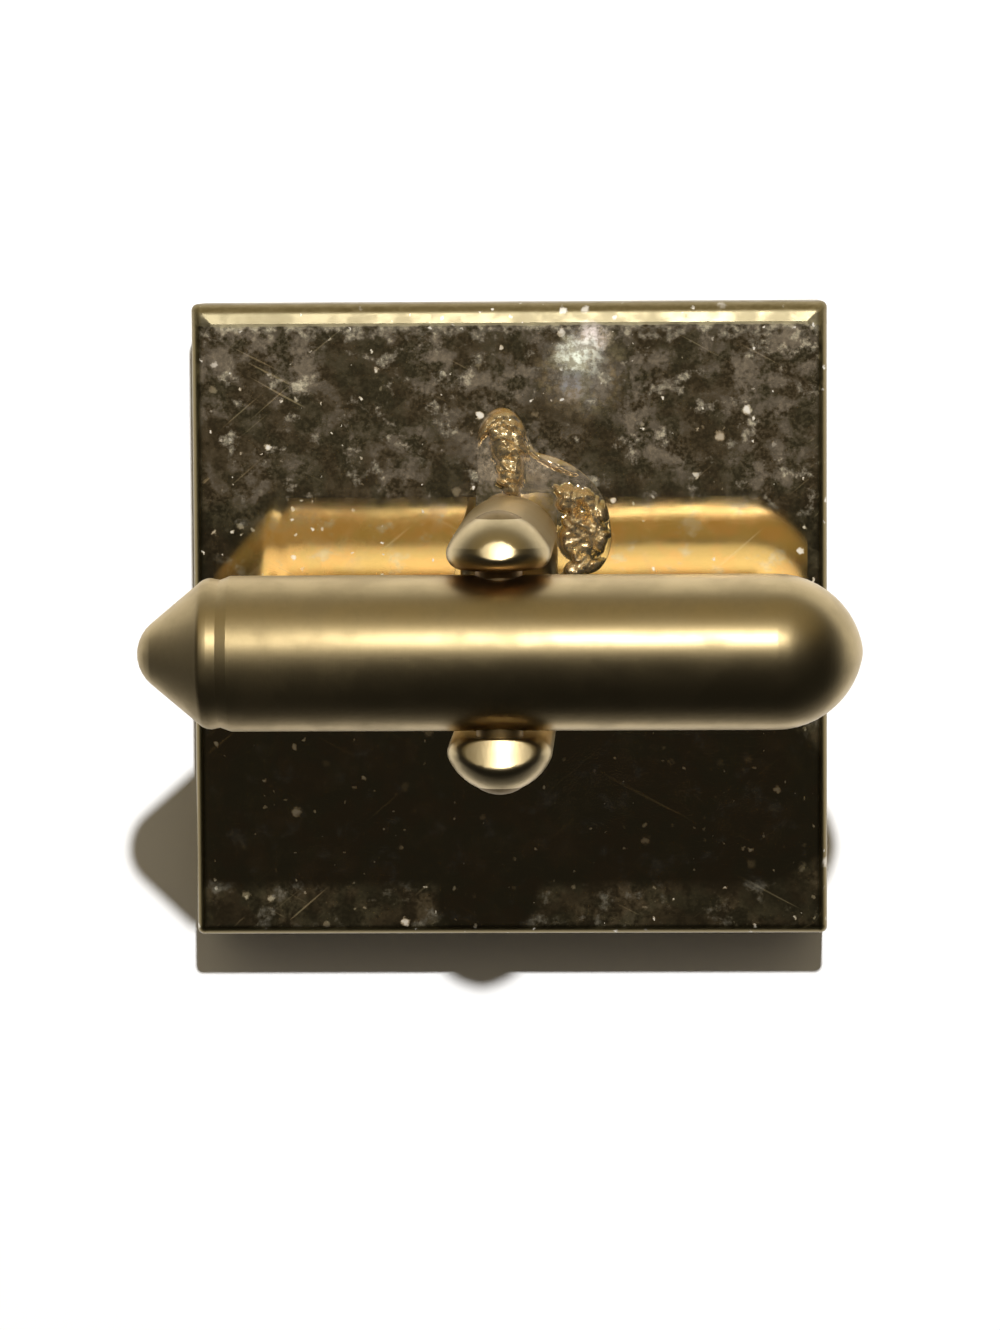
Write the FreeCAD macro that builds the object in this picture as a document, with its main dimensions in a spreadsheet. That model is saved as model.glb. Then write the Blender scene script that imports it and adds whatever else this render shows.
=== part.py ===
"""Square cufflink with a swivelling torpedo bar, in millimetres.

The cufflink lies on its decorative face. +Z runs from the face plate along the post, X along the toggle bar
and Y along the pivot pin. The origin is at the middle of the decorative face.
"""

import FreeCAD
import Part
import Sketcher
import enum
import math
import os
from FreeCAD import Vector

SIZES = [
    ("plate_side", 19.0, "side of the square face plate"),
    ("plate_thickness", 4.0, "thickness of the face plate"),
    ("corner_radius", 0.2, "radius of the plate's upright corners"),
    ("back_bevel_width", 0.6, "width of the shallow bevel round the back of the plate"),
    ("back_bevel_depth", 0.13, "depth of the shallow bevel round the back of the plate"),
    ("back_edge_radius", 0.4, "rounding where the shallow bevel meets the plate's sides"),
    ("front_bevel", 0.6, "bevel round the decorative face"),
    ("wire_width", 3.1, "width of the half-round wire of the post, before its edges are rounded"),
    ("wire_edge_radius", 0.45, "rounding along both edges of the wire's flat side"),
    ("bend_radius", 1.0, "inner radius of the post's two bends"),
    ("seat_depth", 0.35, "depth ground off the wire's crown where the post stands on the plate"),
    ("side_clearance", 0.15, "play between the bar and each ear"),
    ("swing_clearance", 0.8, "room between the bar's tip and the foot of the post as the bar swings through"),
    ("bar_diameter", 4.3, "outside diameter of the toggle bar"),
    ("bar_length", 20.0, "length of the toggle bar over both tips"),
    ("tube_wall", 0.45, "wall of the bar's drawn tube"),
    ("round_tip_radius", 1.05, "tip radius of the tube's closed end"),
    ("ogive_setback", 0.28, "how far past the bar's axis the closed end's shoulder arc has its centre"),
    ("nose_length", 2.3, "length of the pointed nose outside the tube"),
    ("nose_tip_radius", 1.1, "tip radius of the pointed nose"),
    ("nose_shoulder_radius", 0.45, "radius between the nose's cone and its crest"),
    ("nose_crest_drop", 0.06, "how far the nose's crest stays under the tube's outside"),
    ("nose_land", 0.25, "distance from the nose's crest to the seam"),
    ("spigot_length", 1.5, "length of the nose's spigot inside the tube"),
    ("spigot_chamfer", 0.3, "lead-in on the end of the spigot"),
    ("seam_depth", 0.11, "depth of the groove at the seam between nose and tube"),
    ("mouth_taper", 0.3, "length over which the tube's mouth tapers into the groove"),
    ("pin_diameter", 1.3, "diameter of the pivot pin"),
    ("pin_clearance", 0.04, "play all round the pin in the tube"),
    ("pin_dome", 0.22, "height of the pin's peened ends"),
    ("pin_flats", 1.0, "distance across the four flats at the pin's middle"),
    ("flat_margin", 0.25, "round shoulder left on the pin inside the tube, beside the flats"),
    ("spring_thickness", 0.2, "thickness of the leaf spring"),
    ("spring_width", 1.7, "width of the leaf spring"),
    ("spring_seat_length", 1.6, "flat middle of the leaf spring, resting on the pin"),
    ("spring_play", 0.03, "play between the leaf, the pin and the tube"),
    ("spring_end_gap", 0.4, "gap between the leaf's end and the spigot"),
    ("puddle_length", 10.4, "length of the solder puddle, along the pin"),
    ("puddle_width", 5.6, "width of the solder puddle, along the bar"),
    ("puddle_height", 0.8, "height of the solder puddle in its middle"),
    ("spur_shift", -0.2, "middle of the solder spur, off the post's middle plane"),
    ("spur_reach", 1.45, "middle of the solder spur, beyond the leg of the post"),
    ("spur_width", 1.6, "width of the solder spur"),
    ("spur_length", 2.2, "length of the solder spur"),
    ("spur_height", 0.75, "height of the solder spur"),
    ("knuckle_offset", 0.6, "middle of the large solder lump, beside the wire"),
    ("knuckle_along", 2.1, "middle of the large solder lump, along the foot"),
    ("knuckle_width", 1.3, "width of the large solder lump"),
    ("knuckle_length", 1.6, "length of the large solder lump"),
    ("knuckle_height", 0.65, "height of the large solder lump"),
    ("drip_offset", 0.55, "middle of the small solder lump, beside the wire"),
    ("drip_along", 3.3, "middle of the small solder lump, along the foot"),
    ("drip_width", 1.2, "width of the small solder lump"),
    ("drip_length", 1.1, "length of the small solder lump"),
    ("drip_height", 0.5, "height of the small solder lump"),
]

doc = FreeCAD.newDocument("cufflink")
sheet = doc.addObject("Spreadsheet::Sheet", "sizes")
for row, (alias, size, note) in enumerate(SIZES, start=1):
    sheet.set(f"A{row}", note)
    sheet.set(f"B{row}", str(size))
    sheet.setAlias(f"B{row}", alias)
doc.recompute()

# Lengths that follow from the driving sizes.
WIRE_RADIUS = "(sizes.wire_width / 2)"
BAR_RADIUS = "(sizes.bar_diameter / 2)"
BORE_RADIUS = f"({BAR_RADIUS} - sizes.tube_wall)"
PIN_RADIUS = "(sizes.pin_diameter / 2)"
EAR_FACE = f"({BAR_RADIUS} + sizes.side_clearance)"
FOOT_TOP = f"({WIRE_RADIUS} - sizes.seat_depth)"
PIN_RISE = f"({FOOT_TOP} + sizes.swing_clearance + sizes.bar_length / 2)"
PIN_HEIGHT = f"(sizes.plate_thickness + {PIN_RISE})"
BACK_SLOPE = "atan(sizes.back_bevel_depth / sizes.back_bevel_width)"
BACK_EDGE_DROP = f"(sizes.back_bevel_depth + sizes.back_edge_radius * tan(45 deg - {BACK_SLOPE} / 2))"
HALF_BAR = "(sizes.bar_length / 2)"
SEAM = f"({HALF_BAR} - sizes.nose_length)"
SEAM_RADIUS = f"({BAR_RADIUS} - sizes.seam_depth)"
CREST_RADIUS = f"({BAR_RADIUS} - sizes.nose_crest_drop)"
OGIVE_RADIUS = f"({BAR_RADIUS} + sizes.ogive_setback)"
OGIVE_RUN = f"sqrt(({OGIVE_RADIUS} - sizes.round_tip_radius) ^ 2 - sizes.ogive_setback ^ 2)"
ROUND_START = f"({HALF_BAR} - sizes.round_tip_radius - {OGIVE_RUN})"
PIN_RIM = f"({EAR_FACE} + sqrt({WIRE_RADIUS} ^ 2 - {PIN_RADIUS} ^ 2))"
PIN_TIP = f"({PIN_RIM} + sizes.pin_dome)"
FLATS_LENGTH = f"(2 * ({BORE_RADIUS} - sizes.flat_margin))"
LEAF_FACE = "(sizes.pin_flats / 2 + sizes.spring_play)"
LEAF_END = f"({SEAM} - sizes.spigot_length - sizes.spring_end_gap)"
LEAF_WALL = f"(sqrt({BORE_RADIUS} ^ 2 - (sizes.spring_width / 2) ^ 2) - sizes.spring_play)"
LEAF_RISE = f"({LEAF_WALL} - sizes.spring_thickness)"

# Middle of each solder lump along X and along Y.
SOLDER_LUMPS = {
    "spur": ("sizes.spur_shift", f"{EAR_FACE} + {WIRE_RADIUS} + sizes.spur_reach"),
    "knuckle": (f"{WIRE_RADIUS} + sizes.knuckle_offset", "sizes.knuckle_along"),
    "drip": (f"{WIRE_RADIUS} + sizes.drip_offset", "sizes.drip_along"),
}

SAME_HEIGHT = 1e-6
RISING = 1e-3
SHARP = 0.3


class Point(enum.IntEnum):
    """Codes of an edge's points in a sketch."""

    START = 1
    END = 2
    CENTRE = 3


class Axis(enum.IntEnum):
    """Codes of a sketch's own axes."""

    HORIZONTAL = -1
    VERTICAL = -2


ORIGIN = (Axis.HORIZONTAL, Point.START)


def number(expression):
    """Value of an expression on the sheet."""
    return float(sheet.evalExpression(expression))


def new_body(label, height=None):
    """Body named after its piece, raised along Z by an expression."""
    body = doc.addObject("PartDesign::Body", label)
    if height:
        body.setExpression("Placement.Base.z", height)
    return body


def origin_feature(body, role):
    return next(feature for feature in body.Origin.OriginFeatures if feature.Role == role)


def new_sketch(body, name, role, rise=None):
    """Sketch on one of the body's origin planes, shifted along that plane's own upright or normal."""
    sketch = body.newObject("Sketcher::SketchObject", name)
    sketch.AttachmentSupport = (origin_feature(body, role), [""])
    sketch.MapMode = "FlatFace"
    if rise:
        shift = "z" if role == "XY_Plane" else "y"
        sketch.setExpression(f"AttachmentOffset.Base.{shift}", rise)
    return sketch


def line(sketch, start, end):
    return sketch.addGeometry(Part.LineSegment(Vector(*start, 0), Vector(*end, 0)))


def arc(sketch, centre, radius, first, last):
    """Arc drawn anticlockwise from the angle first to the angle last, in radians."""
    circle = Part.Circle(Vector(*centre, 0), Vector(0, 0, 1), radius)
    return sketch.addGeometry(Part.ArcOfCircle(circle, first, last))


def require(sketch, kind, *references):
    return sketch.addConstraint(Sketcher.Constraint(kind, *references))


def dimension(sketch, kind, references, expression):
    """Driving dimension of a sketch, bound to the sheet."""
    index = require(sketch, kind, *references, number(expression))
    sketch.setExpression(f"Constraints[{index}]", expression)


def meet(sketch, edge, edge_point, other, other_point, kind="Coincident"):
    require(sketch, kind, edge, edge_point, other, other_point)


def on_axis(sketch, edge, point, axis):
    require(sketch, "PointOnObject", edge, point, axis)


def revolve(body, sketch, name):
    """Full turn of a profile about its sketch's horizontal axis."""
    feature = body.newObject("PartDesign::Revolution", name)
    feature.Profile = sketch
    feature.ReferenceAxis = (sketch, ["H_Axis"])
    feature.Angle = 360
    return feature


def cut(body, sketch, name, sides, length=None):
    """Pocket on one side of its sketch or on both, right through unless a length is given."""
    doc.recompute()
    before = body.Shape.Volume
    pocket = body.newObject("PartDesign::Pocket", name)
    pocket.Profile = sketch
    pocket.SideType = sides
    if length:
        pocket.Type = "Length"
        pocket.setExpression("Length", length)
    else:
        pocket.Type = "ThroughAll"
    doc.recompute()
    if body.Shape.Volume >= before:
        raise RuntimeError(f"{body.Label}: {name} cuts nothing")
    return pocket


def centred_circle(sketch, diameter):
    """Circle of a given diameter, centred on the sketch's origin."""
    circle = Part.Circle(Vector(0, 0, 0), Vector(0, 0, 1), number(diameter) / 2)
    rim = sketch.addGeometry(circle)
    meet(sketch, rim, Point.CENTRE, *ORIGIN)
    dimension(sketch, "Diameter", (rim,), diameter)


def round_hole(body, name, diameter, rise=None):
    """Round hole along Y through the middle of a body."""
    sketch = new_sketch(body, f"{name}_outline", "XZ_Plane", rise)
    centred_circle(sketch, diameter)
    cut(body, sketch, name, "Symmetric")


def centred_square(sketch, side):
    """Square of a given side, centred on the sketch's origin."""
    half = number(side) / 2
    corners = [(-half, -half), (half, -half), (half, half), (-half, half)]
    edges = [line(sketch, corners[index], corners[(index + 1) % 4]) for index in range(4)]
    for index, edge in enumerate(edges):
        meet(sketch, edge, Point.END, edges[(index + 1) % 4], Point.START)
        require(sketch, "Horizontal" if index % 2 == 0 else "Vertical", edge)
    require(sketch, "Symmetric", edges[0], Point.START, edges[1], Point.END, *ORIGIN)
    require(sketch, "Equal", edges[0], edges[1])
    dimension(sketch, "DistanceX", (edges[0], Point.START, edges[0], Point.END), side)


def edges_where(feature, test):
    return [f"Edge{index}" for index, edge in enumerate(feature.Shape.Edges, start=1) if test(edge)]


def edges_at_height(feature, height):
    return edges_where(feature, lambda edge: all(abs(v.Z - height) < SAME_HEIGHT for v in edge.Vertexes))


def sharp_edges(feature):
    """Edges where two faces meet at an angle, not smoothly."""

    def is_sharp(edge):
        middle = edge.valueAt((edge.FirstParameter + edge.LastParameter) / 2)
        faces = feature.Shape.ancestorsOfType(edge, Part.Face)
        normals = [face.normalAt(*face.Surface.parameter(middle)) for face in faces]
        return len(normals) == 2 and normals[0].getAngle(normals[1]) > SHARP

    return edges_where(feature, is_sharp)


def dress(body, base, kind, name, edges, size_property, expression):
    """Fillet or chamfer on named edges of the feature before it."""
    feature = body.newObject(f"PartDesign::{kind}", name)
    feature.Base = (base, edges)
    feature.setExpression(size_property, expression)
    doc.recompute()
    return feature


def back_edge_waste(body):
    """Section of what is taken off each back edge: a shallow bevel, rounded where it meets the side."""
    waste = new_sketch(body, "back_edge_waste", "YZ_Plane")
    side = number("sizes.plate_side") / 2
    back = number("sizes.plate_thickness")
    width = number("sizes.back_bevel_width")
    radius = number("sizes.back_edge_radius")
    slope = math.atan2(number("sizes.back_bevel_depth"), width)
    low = back - number(BACK_EDGE_DROP)
    centre = (side - radius, low)
    turn = (centre[0] + radius * math.sin(slope), centre[1] + radius * math.cos(slope))
    top = line(waste, (side, back), (side - width, back))
    bevel = line(waste, (side - width, back), turn)
    edge = arc(waste, centre, radius, 0, math.pi / 2 - slope)
    wall = line(waste, (side, low), (side, back))
    meet(waste, top, Point.END, bevel, Point.START)
    meet(waste, bevel, Point.END, edge, Point.END, "Tangent")
    meet(waste, edge, Point.START, wall, Point.START, "Tangent")
    meet(waste, wall, Point.END, top, Point.START)
    require(waste, "Horizontal", top)
    require(waste, "Vertical", wall)
    dimension(waste, "DistanceX", (*ORIGIN, top, Point.START), "sizes.plate_side / 2")
    dimension(waste, "DistanceY", (*ORIGIN, top, Point.START), "sizes.plate_thickness")
    dimension(waste, "DistanceX", (top, Point.END, top, Point.START), "sizes.back_bevel_width")
    dimension(waste, "DistanceY", (wall, Point.START, wall, Point.END), BACK_EDGE_DROP)
    dimension(waste, "Radius", (edge,), "sizes.back_edge_radius")
    return waste


def build_face_plate():
    """Square slab with a shallow bevel round its back, a plain one round its face, and eased corners."""
    body = new_body("face_plate")
    outline = new_sketch(body, "plate_outline", "XY_Plane")
    centred_square(outline, "sizes.plate_side")
    slab = body.newObject("PartDesign::Pad", "plate_slab")
    slab.Profile = outline
    slab.setExpression("Length", "sizes.plate_thickness")
    first_edge = cut(body, back_edge_waste(body), "back_edge", "Symmetric")
    back_edges = body.newObject("PartDesign::PolarPattern", "back_edges")
    back_edges.Originals = [first_edge]
    back_edges.Axis = (origin_feature(body, "Z_Axis"), [""])
    back_edges.Angle = 360
    back_edges.Occurrences = 4
    body.Tip = back_edges
    doc.recompute()
    front = edges_at_height(back_edges, 0)
    bevelled = dress(body, back_edges, "Chamfer", "front_edge", front, "Size", "sizes.front_bevel")
    upright = edges_where(bevelled, lambda edge: abs(edge.tangentAt(edge.FirstParameter).z) > RISING)
    dress(body, bevelled, "Fillet", "plate_corners", upright, "Radius", "sizes.corner_radius")
    return body


def stirrup_spine(body):
    """U-shaped path along the wire's flat side: down one leg, across the foot, up the other leg."""
    spine = new_sketch(body, "wire_path", "YZ_Plane")
    face = number(EAR_FACE)
    foot = number(FOOT_TOP)
    top = number(PIN_RISE)
    bend = number("sizes.bend_radius")
    left = line(spine, (-face, top), (-face, foot + bend))
    left_bend = arc(spine, (-face + bend, foot + bend), bend, math.pi, 1.5 * math.pi)
    across = line(spine, (-face + bend, foot), (face - bend, foot))
    right_bend = arc(spine, (face - bend, foot + bend), bend, 1.5 * math.pi, 2 * math.pi)
    right = line(spine, (face, foot + bend), (face, top))
    path = [left, left_bend, across, right_bend, right]
    for edge, following in zip(path, path[1:]):
        meet(spine, edge, Point.END, following, Point.START, "Tangent")
    require(spine, "Vertical", left)
    require(spine, "Horizontal", across)
    require(spine, "Vertical", right)
    require(spine, "Equal", left_bend, right_bend)
    require(spine, "Symmetric", left, Point.START, right, Point.END, Axis.VERTICAL)
    dimension(spine, "Radius", (right_bend,), "sizes.bend_radius")
    dimension(spine, "DistanceX", (*ORIGIN, right, Point.END), EAR_FACE)
    dimension(spine, "DistanceY", (*ORIGIN, across, Point.END), FOOT_TOP)
    dimension(spine, "DistanceY", (*ORIGIN, right, Point.END), PIN_RISE)
    return spine


def half_round(body):
    """Half-round section of the wire at the pin's height, its flat towards the bar."""
    section = new_sketch(body, "wire_section", "XY_Plane", PIN_RISE)
    face = number(EAR_FACE)
    radius = number(WIRE_RADIUS)
    flat = line(section, (-radius, -face), (radius, -face))
    crown = arc(section, (0, -face), radius, math.pi, 2 * math.pi)
    meet(section, flat, Point.START, crown, Point.START)
    meet(section, flat, Point.END, crown, Point.END)
    require(section, "Horizontal", flat)
    on_axis(section, crown, Point.CENTRE, flat)
    on_axis(section, crown, Point.CENTRE, Axis.VERTICAL)
    dimension(section, "Radius", (crown,), WIRE_RADIUS)
    dimension(section, "DistanceY", (crown, Point.CENTRE, *ORIGIN), EAR_FACE)
    return section


def build_stirrup_post():
    """Half-round wire with softened edges, bent into a U: ends rounded into ears, foot ground flat."""
    body = new_body("stirrup_post", "sizes.plate_thickness")
    section = half_round(body)
    wire = body.newObject("PartDesign::AdditivePipe", "bent_wire")
    wire.Profile = section
    wire.Spine = (stirrup_spine(body), [])
    doc.recompute()
    ear = body.newObject("PartDesign::Revolution", "ear")
    ear.Profile = section
    ear.ReferenceAxis = (section, ["Edge1"])
    ear.Angle = 90
    ear.Reversed = True
    second_ear = body.newObject("PartDesign::Mirrored", "second_ear")
    second_ear.Originals = [ear]
    second_ear.MirrorPlane = (origin_feature(body, "XZ_Plane"), [""])
    body.Tip = second_ear
    doc.recompute()
    flat_rim = sharp_edges(second_ear)
    dress(body, second_ear, "Fillet", "wire_edges", flat_rim, "Radius", "sizes.wire_edge_radius")
    seat = new_sketch(body, "seat_outline", "XY_Plane")
    centred_square(seat, f"2 * ({EAR_FACE} + sizes.wire_width)")
    cut(body, seat, "seat", "One side")
    round_hole(body, "pin_hole", "sizes.pin_diameter", PIN_RISE)
    return body


def build_pivot_pin():
    """Round pin with peened ends that follow the ears, and four flats where the leaf spring bears."""
    body = new_body("pivot_pin", PIN_HEIGHT)
    profile = new_sketch(body, "pin_profile", "YZ_Plane")
    radius = number(PIN_RADIUS)
    rim = number(PIN_RIM)
    tip = number(PIN_TIP)
    dome = tip - rim
    dome_radius = (radius ** 2 + dome ** 2) / (2 * dome)
    reach = math.asin(radius / dome_radius)
    axis = line(profile, (-tip, 0), (tip, 0))
    right_dome = arc(profile, (tip - dome_radius, 0), dome_radius, 0, reach)
    side = line(profile, (rim, radius), (-rim, radius))
    left_dome = arc(profile, (dome_radius - tip, 0), dome_radius, math.pi - reach, math.pi)
    meet(profile, axis, Point.END, right_dome, Point.START)
    meet(profile, right_dome, Point.END, side, Point.START)
    meet(profile, side, Point.END, left_dome, Point.START)
    meet(profile, left_dome, Point.END, axis, Point.START)
    require(profile, "Symmetric", axis, Point.START, axis, Point.END, *ORIGIN)
    require(profile, "Horizontal", axis)
    on_axis(profile, right_dome, Point.CENTRE, Axis.HORIZONTAL)
    on_axis(profile, left_dome, Point.CENTRE, Axis.HORIZONTAL)
    require(profile, "Symmetric", side, Point.START, side, Point.END, Axis.VERTICAL)
    dimension(profile, "DistanceX", (*ORIGIN, axis, Point.END), PIN_TIP)
    dimension(profile, "DistanceX", (*ORIGIN, side, Point.START), PIN_RIM)
    dimension(profile, "DistanceY", (*ORIGIN, side, Point.START), PIN_RADIUS)
    revolve(body, profile, "pin_round")
    waste = new_sketch(body, "flats_outline", "XZ_Plane")
    centred_circle(waste, "2 * sizes.pin_diameter")
    centred_square(waste, "sizes.pin_flats")
    cut(body, waste, "flats", "Symmetric", FLATS_LENGTH)
    return body


def build_bar_shell():
    """Tube drawn with one closed end: an outer and an inner profile on the same two arc centres."""
    body = new_body("bar_shell", PIN_HEIGHT)
    profile = new_sketch(body, "shell_profile", "XZ_Plane")
    radius = number(BAR_RADIUS)
    bore = number(BORE_RADIUS)
    wall = number("sizes.tube_wall")
    seam = -number(SEAM)
    rim = number(SEAM_RADIUS)
    taper_end = seam + number("sizes.mouth_taper")
    turn = number(ROUND_START)
    tip = number(HALF_BAR)
    tip_radius = number("sizes.round_tip_radius")
    shoulder_radius = number(OGIVE_RADIUS)
    shoulder = (turn, radius - shoulder_radius)
    tip_centre = (tip - tip_radius, 0)
    join = math.atan2(tip_centre[1] - shoulder[1], tip_centre[0] - shoulder[0])
    mouth = line(profile, (seam, bore), (seam, rim))
    taper = line(profile, (seam, rim), (taper_end, radius))
    outside = line(profile, (taper_end, radius), (turn, radius))
    outer_shoulder = arc(profile, shoulder, shoulder_radius, join, math.pi / 2)
    outer_tip = arc(profile, tip_centre, tip_radius, 0, join)
    thickness = line(profile, (tip, 0), (tip - wall, 0))
    inner_tip = arc(profile, tip_centre, tip_radius - wall, 0, join)
    inner_shoulder = arc(profile, shoulder, shoulder_radius - wall, join, math.pi / 2)
    inside = line(profile, (turn, bore), (seam, bore))
    meet(profile, mouth, Point.END, taper, Point.START)
    meet(profile, taper, Point.END, outside, Point.START)
    meet(profile, outside, Point.END, outer_shoulder, Point.END, "Tangent")
    meet(profile, outer_shoulder, Point.START, outer_tip, Point.END, "Tangent")
    meet(profile, outer_tip, Point.START, thickness, Point.START)
    meet(profile, thickness, Point.END, inner_tip, Point.START)
    meet(profile, inner_tip, Point.END, inner_shoulder, Point.START, "Tangent")
    meet(profile, inner_shoulder, Point.END, inside, Point.START, "Tangent")
    meet(profile, inside, Point.END, mouth, Point.START)
    require(profile, "Vertical", mouth)
    require(profile, "Horizontal", outside)
    require(profile, "Horizontal", inside)
    on_axis(profile, thickness, Point.START, Axis.HORIZONTAL)
    on_axis(profile, thickness, Point.END, Axis.HORIZONTAL)
    on_axis(profile, outer_tip, Point.CENTRE, Axis.HORIZONTAL)
    meet(profile, inner_tip, Point.CENTRE, outer_tip, Point.CENTRE)
    meet(profile, inner_shoulder, Point.CENTRE, outer_shoulder, Point.CENTRE)
    dimension(profile, "DistanceY", (*ORIGIN, outside, Point.END), BAR_RADIUS)
    dimension(profile, "DistanceY", (*ORIGIN, inside, Point.END), BORE_RADIUS)
    dimension(profile, "DistanceX", (mouth, Point.START, *ORIGIN), SEAM)
    dimension(profile, "DistanceY", (*ORIGIN, mouth, Point.END), SEAM_RADIUS)
    dimension(profile, "DistanceX", (taper, Point.START, taper, Point.END), "sizes.mouth_taper")
    dimension(profile, "DistanceX", (*ORIGIN, thickness, Point.START), HALF_BAR)
    dimension(profile, "DistanceX", (*ORIGIN, outside, Point.END), ROUND_START)
    dimension(profile, "Radius", (outer_tip,), "sizes.round_tip_radius")
    revolve(body, profile, "drawn_tube")
    round_hole(body, "pin_hole_in_tube", "sizes.pin_diameter + 2 * sizes.pin_clearance")
    return body


def build_nose_plug():
    """Pointed nose: rounded tip, cone, crest and a land that falls to the seam, on a spigot for the tube."""
    body = new_body("nose_plug", PIN_HEIGHT)
    profile = new_sketch(body, "nose_profile", "XZ_Plane")
    crest_radius = number(CREST_RADIUS)
    rim = number(SEAM_RADIUS)
    bore = number(BORE_RADIUS)
    tip = -number(HALF_BAR)
    seam = -number(SEAM)
    crest = seam - number("sizes.nose_land")
    back = seam + number("sizes.spigot_length")
    lead = number("sizes.spigot_chamfer")
    tip_radius = number("sizes.nose_tip_radius")
    shoulder_radius = number("sizes.nose_shoulder_radius")
    tip_centre = (tip + tip_radius, 0)
    shoulder = (crest, crest_radius - shoulder_radius)
    run = shoulder[0] - tip_centre[0]
    rise = shoulder[1]
    slope = math.atan2(rise, run) + math.asin((shoulder_radius - tip_radius) / math.hypot(run, rise))
    outward = math.pi / 2 + slope
    cone_start = (tip_centre[0] + tip_radius * math.cos(outward), tip_radius * math.sin(outward))
    cone_end = (
        shoulder[0] + shoulder_radius * math.cos(outward),
        shoulder[1] + shoulder_radius * math.sin(outward),
    )
    point = arc(profile, tip_centre, tip_radius, outward, math.pi)
    cone = line(profile, cone_start, cone_end)
    crown = arc(profile, shoulder, shoulder_radius, math.pi / 2, outward)
    land = line(profile, (crest, crest_radius), (seam, rim))
    collar = line(profile, (seam, rim), (seam, bore))
    spigot = line(profile, (seam, bore), (back - lead, bore))
    lead_in = line(profile, (back - lead, bore), (back, bore - lead))
    end_face = line(profile, (back, bore - lead), (back, 0))
    axis = line(profile, (back, 0), (tip, 0))
    meet(profile, point, Point.START, cone, Point.START, "Tangent")
    meet(profile, cone, Point.END, crown, Point.END, "Tangent")
    meet(profile, crown, Point.START, land, Point.START)
    meet(profile, land, Point.END, collar, Point.START)
    meet(profile, collar, Point.END, spigot, Point.START)
    meet(profile, spigot, Point.END, lead_in, Point.START)
    meet(profile, lead_in, Point.END, end_face, Point.START)
    meet(profile, end_face, Point.END, axis, Point.START)
    meet(profile, axis, Point.END, point, Point.END)
    require(profile, "Vertical", crown, Point.CENTRE, crown, Point.START)
    require(profile, "Vertical", collar)
    require(profile, "Horizontal", spigot)
    require(profile, "Vertical", end_face)
    on_axis(profile, axis, Point.START, Axis.HORIZONTAL)
    on_axis(profile, axis, Point.END, Axis.HORIZONTAL)
    on_axis(profile, point, Point.CENTRE, Axis.HORIZONTAL)
    dimension(profile, "DistanceX", (axis, Point.END, *ORIGIN), HALF_BAR)
    dimension(profile, "DistanceX", (collar, Point.END, *ORIGIN), SEAM)
    dimension(profile, "DistanceY", (*ORIGIN, crown, Point.START), CREST_RADIUS)
    dimension(profile, "DistanceY", (*ORIGIN, land, Point.END), SEAM_RADIUS)
    dimension(profile, "DistanceY", (*ORIGIN, spigot, Point.END), BORE_RADIUS)
    dimension(profile, "DistanceX", (land, Point.START, land, Point.END), "sizes.nose_land")
    dimension(profile, "DistanceX", (collar, Point.END, axis, Point.START), "sizes.spigot_length")
    dimension(profile, "DistanceX", (lead_in, Point.START, lead_in, Point.END), "sizes.spigot_chamfer")
    dimension(profile, "DistanceY", (lead_in, Point.END, lead_in, Point.START), "sizes.spigot_chamfer")
    dimension(profile, "Radius", (point,), "sizes.nose_tip_radius")
    dimension(profile, "Radius", (crown,), "sizes.nose_shoulder_radius")
    revolve(body, profile, "turned_nose")
    return body


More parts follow.
